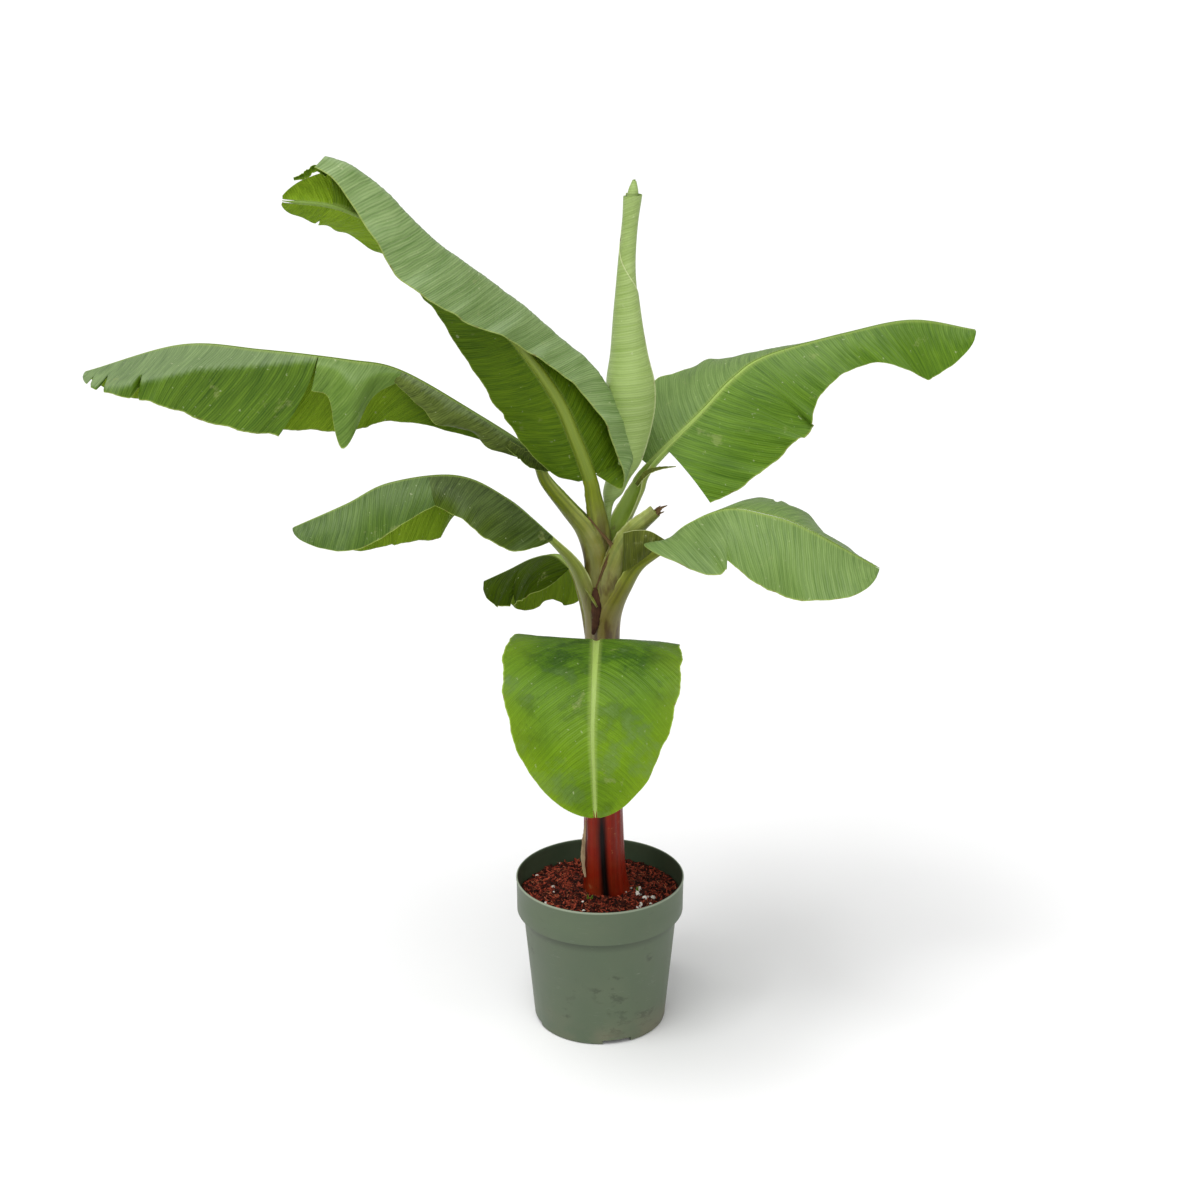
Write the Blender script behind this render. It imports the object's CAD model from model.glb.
# %% [markdown]
# # A young banana plant in a nursery pot
# The plant has a red-brown stem made of leaf sheaths, seven open leaves that arch
# outwards, one young leaf that is still rolled, and the stump of a cut leaf stalk.
# The solid model fixes every size. Here each plain solid is exchanged for a
# detailed piece in the same place: thin veined blades, channelled stalks,
# overlapping sheaths, a moulded pot and loose potting mix.

# %% Load the frame
import math

import bpy
import numpy as np
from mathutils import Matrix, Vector


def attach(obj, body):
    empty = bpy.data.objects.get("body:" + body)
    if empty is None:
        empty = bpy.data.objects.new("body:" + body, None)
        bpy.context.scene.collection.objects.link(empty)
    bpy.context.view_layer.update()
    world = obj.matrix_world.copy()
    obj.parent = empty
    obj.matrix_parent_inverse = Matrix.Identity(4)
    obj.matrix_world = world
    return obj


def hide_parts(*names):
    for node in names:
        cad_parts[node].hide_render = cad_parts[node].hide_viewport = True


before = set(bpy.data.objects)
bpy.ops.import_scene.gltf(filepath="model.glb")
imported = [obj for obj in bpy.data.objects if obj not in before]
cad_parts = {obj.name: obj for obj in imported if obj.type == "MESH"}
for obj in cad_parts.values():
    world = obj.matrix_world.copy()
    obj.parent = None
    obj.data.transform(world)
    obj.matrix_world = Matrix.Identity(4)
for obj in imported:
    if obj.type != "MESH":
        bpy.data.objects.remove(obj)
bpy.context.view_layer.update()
scene = bpy.context.scene
print("nodes in the frame:", len(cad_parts))

# %% [markdown]
# ## Camera, light and floor
# A plant like this is looked at from a little above, so that the upper sides of
# the low leaves show. The camera stands 2.7 m in front of the pot. Broad soft
# lights keep the shadows gentle and give the leaves their long pale sheen.

# %% Camera
CAMERA_PLACE = (0.0, -2.7, 1.578)
CAMERA_DOWN = 18.53      # degrees below the horizon
CAMERA_LENS = 59.13

camera_data = bpy.data.cameras.new("camera")
camera_data.lens = CAMERA_LENS
camera_data.sensor_width = 36.0
camera = bpy.data.objects.new("camera", camera_data)
camera.location = CAMERA_PLACE
camera.rotation_euler = (math.radians(90 - CAMERA_DOWN), 0, 0)
scene.collection.objects.link(camera)
scene.camera = camera
print("camera", CAMERA_PLACE, "lens", CAMERA_LENS)


# %% Lights and floor
FLOOR_RADIUS = 90.0      # metres, so that its edge is never seen
WORLD_LIGHT = 0.5


def soft_sun(name, towards, power, softness):
    """A distant lamp as broad as softness, in degrees."""
    data = bpy.data.lights.new(name, "SUN")
    data.energy = power
    data.angle = math.radians(softness)
    lamp = bpy.data.objects.new(name, data)
    lamp.rotation_mode = "QUATERNION"
    lamp.rotation_quaternion = Vector(towards).to_track_quat("-Z", "Y")
    scene.collection.objects.link(lamp)


def floor_disc(radius, sides=96):
    turns = [2 * math.pi * i / sides for i in range(sides)]
    points = [(0, 0, 0)] + [(radius * math.cos(a), radius * math.sin(a), 0) for a in turns]
    faces = [(0, 1 + i, 1 + (i + 1) % sides) for i in range(sides)]
    mesh = bpy.data.meshes.new("floor")
    mesh.from_pydata(points, [], faces)
    return mesh


soft_sun("top_softbox", (0.3, 0.4, -1.0), 2.5, 36)
soft_sun("front_softbox", (-0.35, 1.0, -0.45), 0.75, 50)

world = bpy.data.worlds.new("studio")
world.use_nodes = True
world.node_tree.nodes["Background"].inputs["Color"].default_value = (1, 1, 1, 1)
world.node_tree.nodes["Background"].inputs["Strength"].default_value = WORLD_LIGHT
scene.world = world
scene.view_settings.view_transform = "Standard"

floor = bpy.data.objects.new("floor", floor_disc(FLOOR_RADIUS))
scene.collection.objects.link(floor)
floor_paint = bpy.data.materials.new("floor_paint")
floor_paint.use_nodes = True
floor_shader = floor_paint.node_tree.nodes["Principled BSDF"]
floor_shader.inputs["Base Color"].default_value = (0.86, 0.86, 0.86, 1)
floor_shader.inputs["Roughness"].default_value = 0.9
floor.data.materials.append(floor_paint)
print("lights and floor ready")

# %% [markdown]
# ## Small tools for curves and sheets
# A banana leaf follows its midrib, so every blade, stalk and sheath here is
# swept along one smooth curve. `curve_points` walks along that curve in even
# steps, and `frames_along` carries an upright direction with it without
# twisting. `along` reads a short list of sizes smoothly, which lets a handful
# of numbers describe how a leaf folds from its base to its tip.

# %% Curves
MM = 0.001


def between(a, b, c, d, t):
    """The smooth curve from b (t = 0) to c (t = 1), with a and d as its neighbours."""
    return 0.5 * (2 * b + (c - a) * t + (2 * a - 5 * b + 4 * c - d) * t**2
                  + (3 * b - a - 3 * c + d) * t**3)


def curve_points(points, steps):
    """Evenly spaced points on the smooth curve through the given ones."""
    p = np.asarray(points, float)
    p = np.vstack([2 * p[0] - p[1], p, 2 * p[-1] - p[-2]])
    t = np.linspace(0, 1, 40, endpoint=False)[:, None]
    fine = [between(*p[i:i + 4], t) for i in range(len(p) - 3)]
    fine = np.vstack(fine + [p[-2:-1]])
    length = np.r_[0, np.cumsum(np.linalg.norm(np.diff(fine[:, :3], axis=0), axis=1))]
    s = np.linspace(0, length[-1], steps + 1)
    even = np.stack([np.interp(s, length, fine[:, k]) for k in range(fine.shape[1])], 1)
    return even, length[-1]


def unit(v):
    return v / np.maximum(np.linalg.norm(v, axis=-1, keepdims=True), 1e-12)


def frames_along(points, up=(0, 0, 1), start=0):
    """Direction, upright and sideways vectors, carried both ways from the start point."""
    tangent = unit(np.gradient(points, axis=0))
    normal = np.zeros_like(points)
    for way in (range(start, len(points)), range(start, -1, -1)):
        n = np.asarray(up, float)
        for i in way:
            n = unit(n - (n @ tangent[i]) * tangent[i])
            normal[i] = n
    return tangent, normal, np.cross(tangent, normal)


def along(values, t):
    """Smooth reading of evenly spread values at t from 0 to 1."""
    v = np.atleast_1d(np.asarray(values, float))
    t = np.asarray(t, float)
    if len(v) == 1:
        return np.full_like(t, v[0])
    x = np.clip(t, 0, 1) * (len(v) - 1)
    i = np.clip(np.floor(x).astype(int), 0, len(v) - 2)
    w = np.r_[2 * v[0] - v[1], v, 2 * v[-1] - v[-2]]
    return between(w[i], w[i + 1], w[i + 2], w[i + 3], x - i)


def smooth_step(x):
    x = np.clip(x, 0, 1)
    return x * x * (3 - 2 * x)


print("curve tools ready")


# %% Meshes from grids
def mesh_piece(name, points, faces, uv=None, slots=(), face_slots=None, attributes=None, angle=50):
    """A finished object at the origin from points in metres."""
    mesh = bpy.data.meshes.new(name)
    mesh.from_pydata([tuple(p) for p in points], [], [tuple(f) for f in faces])
    if uv is not None:
        layer = mesh.uv_layers.new(name="leaf_map")
        loops = np.zeros(len(mesh.loops), dtype=np.int32)
        mesh.loops.foreach_get("vertex_index", loops)
        layer.data.foreach_set("uv", np.asarray(uv, np.float32)[loops].ravel())
    for key, values in (attributes or {}).items():
        data = mesh.attributes.new(key, "FLOAT", "POINT")
        data.data.foreach_set("value", np.asarray(values, np.float32))
    mesh.polygons.foreach_set("use_smooth", [True] * len(mesh.polygons))
    for material in slots:
        mesh.materials.append(material)
    if face_slots is not None:
        mesh.polygons.foreach_set("material_index", np.asarray(face_slots, np.int32))
    mesh.set_sharp_from_angle(angle=math.radians(angle))
    mesh.update()
    piece = bpy.data.objects.new(name, mesh)
    scene.collection.objects.link(piece)
    return piece


def hand_over(piece, slot, *nodes):
    """Tell the frame which nodes a piece replaces, which body carries it and its slot."""
    if nodes:
        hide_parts(*nodes)
    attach(piece, "root")
    return piece


def grid_faces(rows, columns, start=0, wrap=False):
    """Quads over a (rows+1) by (columns+1) grid, or round a tube if wrapped."""
    r, c = np.meshgrid(np.arange(rows), np.arange(columns), indexing="ij")
    width = columns if wrap else columns + 1
    nxt = (c + 1) % width
    a = start + r * width + c
    b = start + r * width + nxt
    return np.stack([a, b, b + width, a + width], -1).reshape(-1, 4)


def sheet_normal(grid, up_sign):
    return unit(np.cross(np.gradient(grid, axis=0), np.gradient(grid, axis=1))) * up_sign


def shell(grid, thickness, up_sign):
    """Points and faces of a closed thin sheet on a grid. Upper faces come first."""
    rows, columns = grid.shape[0] - 1, grid.shape[1] - 1
    half = sheet_normal(grid, up_sign) * (np.asarray(thickness)[..., None] / 2)
    points = np.vstack([(grid + half).reshape(-1, 3), (grid - half).reshape(-1, 3)])
    size = (rows + 1) * (columns + 1)
    top = grid_faces(rows, columns)
    under = grid_faces(rows, columns, size)
    ring = [(0, c) for c in range(columns)] + [(r, columns) for r in range(rows)]
    ring += [(rows, c) for c in range(columns, 0, -1)] + [(r, 0) for r in range(rows, 0, -1)]
    edge = np.array([r * (columns + 1) + c for r, c in ring])
    after = np.roll(edge, -1)
    rim = np.stack([edge, after, after + size, edge + size], -1)
    if up_sign > 0:
        top = top[:, ::-1]
    else:
        under, rim = under[:, ::-1], rim[:, ::-1]
    faces = np.vstack([top, under, rim])
    index = np.r_[np.zeros(len(top), int), np.ones(len(under), int), np.zeros(len(rim), int)]
    return points, faces, index


def sheet_piece(name, grid, thickness, up_sign, uv, material, slot, *nodes):
    """A closed thin sheet of one material, from a grid in millimetres."""
    points, faces, index = shell(grid, np.full(grid.shape[:2], thickness), up_sign)
    both_sides = np.vstack([uv.reshape(-1, 2)] * 2)
    piece = mesh_piece(name, points * MM, faces, both_sides, [material, material], index, angle=75)
    return hand_over(piece, slot, *nodes)


print("mesh tools ready")

# %% [markdown]
# ## Shared surface effects
# Three effects turn up on almost every part of the plant, so each is a node
# group. Leaf veins run across the blade: a fine set of parallel lines and a
# coarser, softly pleated set. Fibres run lengthwise along stalks and sheaths.
# Blotches are the uneven patches, scars and specks that any grown surface has.
# The groups give out masks and heights only; each material keeps its own shader.

# %% Helpers for node trees
def rgb(red, green, blue):
    """A colour from everyday 0 to 255 values, made linear for the shader."""
    lin = [c / 255 / 12.92 if c <= 10 else ((c / 255 + 0.055) / 1.055) ** 2.4
           for c in (red, green, blue)]
    return (*lin, 1.0)


class Graph:
    """Short ways to add nodes to one tree. Every value is a number or a node's socket."""

    def __init__(self, tree):
        self.tree = tree

    def feed(self, socket, value):
        if hasattr(value, "links"):
            self.tree.links.new(value, socket)
        else:
            socket.default_value = value

    def add(self, kind, values=(), inputs=None, **settings):
        """A new node: its settings, its first inputs in order, then inputs by name."""
        node = self.tree.nodes.new(kind)
        for key, value in settings.items():
            setattr(node, key, value)
        for socket, value in zip(node.inputs, values):
            if value is not None:
                self.feed(socket, value)
        for label, value in (inputs or {}).items():
            self.feed(node.inputs[label], value)
        return node

    def calc(self, operation, a, b=None, c=None, clamp=False):
        node = self.add("ShaderNodeMath", (a, b, c), operation=operation, use_clamp=clamp)
        return node.outputs[0]

    def times(self, a, b):
        return self.calc("MULTIPLY", a, b)

    def noise(self, vector, scale, detail=3, rough=0.55):
        inputs = {"Vector": vector, "Scale": scale, "Detail": detail, "Roughness": rough}
        return self.add("ShaderNodeTexNoise", inputs=inputs).outputs["Fac"]

    def spread(self, value, low, high, to_low=0.0, to_high=1.0):
        """Map Range with clamped ends."""
        return self.add("ShaderNodeMapRange", (value, low, high, to_low, to_high)).outputs[0]

    def stretched(self, vector, x, y, z):
        return self.add("ShaderNodeVectorMath", (vector, (x, y, z)), operation="MULTIPLY").outputs[0]

    def axes(self, vector):
        return self.add("ShaderNodeSeparateXYZ", (vector,)).outputs

    def joined(self, x=None, y=None, z=None):
        return self.add("ShaderNodeCombineXYZ", (x, y, z)).outputs[0]


class Effect(Graph):
    """A shader node group: a vector and some numbers go in, masks and heights come out."""

    def __init__(self, name, vector, numbers, outputs):
        super().__init__(bpy.data.node_groups.new(name, "ShaderNodeTree"))
        face = self.tree.interface
        face.new_socket(vector, in_out="INPUT", socket_type="NodeSocketVector")
        for label, value in numbers.items():
            socket = face.new_socket(label, in_out="INPUT", socket_type="NodeSocketFloat")
            socket.default_value = value
        for label in outputs:
            face.new_socket(label, in_out="OUTPUT", socket_type="NodeSocketFloat")
        self.given = self.add("NodeGroupInput").outputs
        self.results = self.add("NodeGroupOutput").inputs

    def give(self, label, value):
        self.feed(self.results[label], value)


print("node helpers ready")

# %% Leaf veins
FULL_TURN = 2 * math.pi

veins = Effect("leaf_veins", "Map", {"Pleat Spacing": 0.0085, "Vein Spacing": 0.0034},
               ["Tone", "Height"])
leaf_map = veins.given["Map"]
wobble = veins.noise(veins.stretched(leaf_map, 2.0, 16.0, 1.0), 1.0, 2)
streak = veins.noise(veins.stretched(leaf_map, 2.2, 420.0, 1.0), 1.0, 2)
broad = veins.noise(veins.stretched(leaf_map, 1.2, 70.0, 1.0), 1.0, 3)
lane = veins.calc("MULTIPLY_ADD", wobble, 0.009, veins.axes(leaf_map)[1])
turns = veins.times(lane, FULL_TURN)
pleat = veins.calc("SINE", veins.calc("DIVIDE", turns, veins.given["Pleat Spacing"]))
fine = veins.calc("SINE", veins.calc("DIVIDE", turns, veins.given["Vein Spacing"]))
line = veins.calc("POWER", veins.calc("MULTIPLY_ADD", fine, 0.5, 0.5), 2.0)
groove = veins.times(line, veins.calc("MULTIPLY_ADD", streak, 0.8, 0.0))
tone = veins.calc("MULTIPLY_ADD", pleat, 0.05, veins.calc("MULTIPLY_ADD", groove, -0.42, 0.12))
tone = veins.calc("ADD", tone, veins.calc("MULTIPLY_ADD", streak, 0.9, -0.45))
tone = veins.calc("ADD", tone, veins.calc("MULTIPLY_ADD", broad, 0.85, 0.07), clamp=True)
height = veins.calc("ADD", veins.times(pleat, 0.3), veins.times(fine, 0.16))
veins.give("Tone", tone)
veins.give("Height", veins.calc("ADD", height, veins.times(broad, 0.9)))

# %% Lengthwise fibres
fibres = Effect("lengthwise_fibres", "Map", {"Across": 60.0, "Length": 5.0}, ["Tone", "Height"])
over, onward, _ = fibres.axes(fibres.given["Map"])
drawn_out = fibres.joined(fibres.times(over, fibres.given["Across"]),
                          fibres.times(onward, fibres.given["Length"]))
thin = fibres.noise(drawn_out, 1.0, 5, 0.7)
wide_band = fibres.noise(drawn_out, 0.22, 2)
bands = fibres.calc("MULTIPLY_ADD", wide_band, 0.6, fibres.times(thin, 0.5), clamp=True)
fibres.give("Tone", bands)
fibres.give("Height", thin)

# %% Blotches, scars and specks
blotches = Effect("blotches", "Place", {"Size": 18.0, "Speck Size": 260.0},
                  ["Blotch", "Scar", "Speck"])
where, size = blotches.given["Place"], blotches.given["Size"]
for label, scale, detail, rough, low, high in (
        ("Blotch", size, 4, 0.55, 0.38, 0.64),
        ("Scar", blotches.times(size, 3.1), 5, 0.7, 0.64, 0.7),
        ("Speck", blotches.given["Speck Size"], 2, 0.55, 0.7, 0.76)):
    blotches.give(label, blotches.spread(blotches.noise(where, scale, detail, rough), low, high))
print("effects:", veins.tree.name, fibres.tree.name, blotches.tree.name)


# %% [markdown]
# ## Leaf skin
# A banana blade is thin enough to glow when light falls on its other side. The
# waxy upper side is a cool green with a soft sheen, the underside is darker and
# yellower where light comes through. Each skin is a Principled surface mixed
# with a Translucent one, because a thin sheet passes diffuse light and doesn't
# bend it.

# %% Leaf skin material
class Skin(Graph):
    """A material under construction: its shader, its usual inputs and its colour so far."""

    def __init__(self, name, roughness=0.5, specular=0.4):
        self.material = bpy.data.materials.new(name)
        self.material.use_nodes = True
        super().__init__(self.material.node_tree)
        self.shader = self.tree.nodes["Principled BSDF"]
        self.shader.inputs["Roughness"].default_value = roughness
        self.shader.inputs["Specular IOR Level"].default_value = specular
        self.coordinates = self.add("ShaderNodeTexCoord").outputs["Object"]
        self.colour = None

    def map(self):
        return self.add("ShaderNodeUVMap", uv_map="leaf_map").outputs[0]

    def group(self, effect, vector, **values):
        inputs = {key.replace("_", " ").title(): value for key, value in values.items()}
        return self.add("ShaderNodeGroup", (vector,), inputs, node_tree=effect.tree).outputs

    def mix(self, mask, a, b, blend="MIX"):
        node = self.add("ShaderNodeMix", data_type="RGBA", blend_type=blend)
        for slot, value in ((0, mask), (6, a), (7, b)):
            self.feed(node.inputs[slot], value)
        return node.outputs[2]

    def layer(self, mask, colour, amount=None):
        """Lay a colour over the colour so far, by a mask and, if given, an amount."""
        if amount is not None:
            mask = self.times(mask, amount)
        over_it = colour if hasattr(colour, "links") else rgb(*colour)
        self.colour = self.mix(mask, self.colour, over_it)

    def attribute(self, name):
        return self.add("ShaderNodeAttribute", attribute_name=name).outputs["Fac"]

    def bump(self, height, strength, distance):
        inputs = {"Strength": strength, "Distance": distance, "Height": height}
        normal = self.add("ShaderNodeBump", inputs=inputs).outputs[0]
        self.feed(self.shader.inputs["Normal"], normal)
        return normal

    def finish(self, roughness=None):
        self.feed(self.shader.inputs["Base Color"], self.colour)
        if roughness is not None:
            self.feed(self.shader.inputs["Roughness"], roughness)
        return self.material


GLOW = (150, 190, 20)
SHADE = (0.55, 0.62, 0.4, 1)


def leaf_skin(name, light, deep, through=0.3, roughness=0.42, sheen=0.35, glow=GLOW, relief=0.5,
              lip=(160, 176, 88), bloom=0.0, patches=0.45, mottle=0.0, stripe=1.0):
    """light and deep are the streak colours, stripe is how far the streaks differ.

    through is the share of light that comes through, in the colour glow. lip is the
    margin's colour. bloom is the pale wax where the blade lies level, patches are the
    darker blotches, and mottle is the clouding of a leaf seen from close by.
    """
    skin = Skin(name, roughness, sheen)
    place, body = skin.map(), skin.coordinates
    outward, onward, _ = skin.axes(place)
    tone, height = skin.group(veins, place)
    blotch, scar, speck = skin.group(blotches, body, size=9.0, speck_size=150.0)
    share = skin.spread(tone, 0.15, 0.85, 0.5 - 0.5 * stripe, 0.5 + 0.5 * stripe)
    skin.colour = skin.mix(share, rgb(*deep), rgb(*light))
    if mottle:
        skin.layer(skin.spread(skin.noise(body, 24.0, 5, 0.65), 0.47, 0.58), deep, mottle)
        outer = skin.times(skin.spread(outward, 0.55, 1.0),
                           skin.spread(skin.noise(body, 9.0, 3), 0.4, 0.6, 0.3, 1.0))
        skin.layer(outer, (140, 172, 34), mottle)
        skin.layer(skin.spread(onward, 0.17, 0.32, 0.0, 0.36), (150, 184, 20), mottle)
        skin.layer(skin.spread(onward, 0.0, 0.085, 0.9, 0.0), (30, 60, 0), mottle)
        wax = skin.spread(skin.noise(body, 12.0, 5, 0.7), 0.52, 0.7)
        skin.layer(wax, (134, 164, 100), 0.6 * mottle)
    yellow = skin.mix(skin.spread(tone, 0.2, 0.8), rgb(110, 142, 8), rgb(152, 184, 40))
    skin.layer(skin.attribute("lit"), yellow, 0.85)
    skin.layer(blotch, skin.mix(1.0, skin.colour, SHADE, "MULTIPLY"), patches)
    waxy = skin.times(skin.attribute("bloom"), skin.spread(tone, 0.2, 0.8, 0.55, 1.0))
    skin.layer(waxy, (176, 194, 158), bloom)
    skin.layer(scar, (178, 182, 120), 0.22)
    skin.layer(speck, (205, 212, 170), 0.35)
    edge = skin.calc("SUBTRACT", 1.0, outward)
    skin.layer(skin.spread(edge, 0.006, 0.02, 1.0, 0.0), lip, 0.75)
    ragged = skin.noise(skin.stretched(place, 0.0, 60.0, 1.0), 1.0, 3)
    dry = skin.times(skin.spread(edge, 0.0, 0.03, 1.0, 0.0), skin.spread(ragged, 0.56, 0.66))
    skin.layer(dry, (104, 78, 40), 0.85)
    skin.layer(skin.spread(outward, 0.0, 0.05, 0.6, 0.0), (150, 172, 84))
    normal = skin.bump(height, relief, 0.0016)
    skin.finish(skin.spread(tone, 0.0, 1.0, roughness - 0.06, roughness + 0.1))
    glow_inputs = {"Color": skin.mix(0.35, rgb(*glow), skin.colour), "Normal": normal}
    glowing = skin.add("ShaderNodeBsdfTranslucent", inputs=glow_inputs).outputs[0]
    both = skin.add("ShaderNodeMixShader", (through, skin.shader.outputs[0], glowing))
    skin.feed(skin.tree.nodes["Material Output"].inputs["Surface"], both.outputs[0])
    return skin.material


# name, colours of light and deep streaks, light let through, roughness, sheen
pale_upper = leaf_skin("pale_waxy_upper_side", (152, 176, 116), (92, 124, 60), 0.18, 0.42, 0.22, bloom=0.4)
mid_upper = leaf_skin("mid_green_upper_side", (106, 138, 36), (44, 78, 6), 0.18, 0.42, 0.18, bloom=0.38)
soft_upper = leaf_skin("soft_green_upper_side", (124, 154, 70), (72, 106, 28), 0.18, 0.42, 0.2, bloom=0.16)
fresh_upper = leaf_skin("fresh_green_upper_side", (110, 146, 32), (54, 92, 4), 0.18, 0.44, 0.18, bloom=0.14)
front_upper = leaf_skin("mottled_front_leaf", (104, 144, 18), (42, 78, 2), 0.2, 0.4, 0.14,
                        lip=(160, 186, 70), bloom=0.03, patches=0.7, mottle=0.78, stripe=0.8)
grey_upper = leaf_skin("grey_olive_upper_side", (112, 128, 58), (44, 58, 14), 0.1, 0.5, 0.1, bloom=0.26)
glossy_upper = leaf_skin("dark_glossy_upper_side", (78, 98, 26), (26, 40, 2), 0.08, 0.4, 0.1,
                         bloom=0.1, mottle=0.1)
deep_upper = leaf_skin("deep_green_upper_side", (94, 122, 44), (44, 74, 12), 0.16, 0.42, 0.18, bloom=0.14)
dark_upper = leaf_skin("shaded_upper_side", (66, 86, 4), (20, 34, 0), 0.08, 0.6, 0.04)
dull_under = leaf_skin("olive_underside", (108, 136, 16), (52, 84, 2), 0.3, 0.55, 0.15)
bright_under = leaf_skin("lit_underside", (146, 174, 34), (104, 134, 8), 0.4, 0.55, 0.15)
olive_fold = leaf_skin("olive_fold", (104, 112, 34), (54, 64, 10), 0.15, 0.5, 0.2, lip=(196, 204, 140))
deep_under = leaf_skin("deep_green_underside", (66, 92, 22), (24, 44, 6), 0.15, 0.5, 0.2,
                       glow=(110, 150, 20))
print("leaf skins:", pale_upper.name, mid_upper.name, fresh_upper.name, dull_under.name, deep_under.name)

# %% [markdown]
# ## The leaves
# Each leaf hangs from its midrib. `rib` lists points along it, from where the
# blade starts to the tip, and `halves` says how each half of the blade leaves
# the rib: its widest width, its slope at the rib (`fold`), where and how far it
# turns over (`crease`, `curl`), how its veins lean to the tip (`sweep`) and the
# share of the full width that it keeps. The lists run from base to tip. Wind
# tears a banana leaf along its veins, so a tear is a narrow notch at one place
# along the rib.

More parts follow.
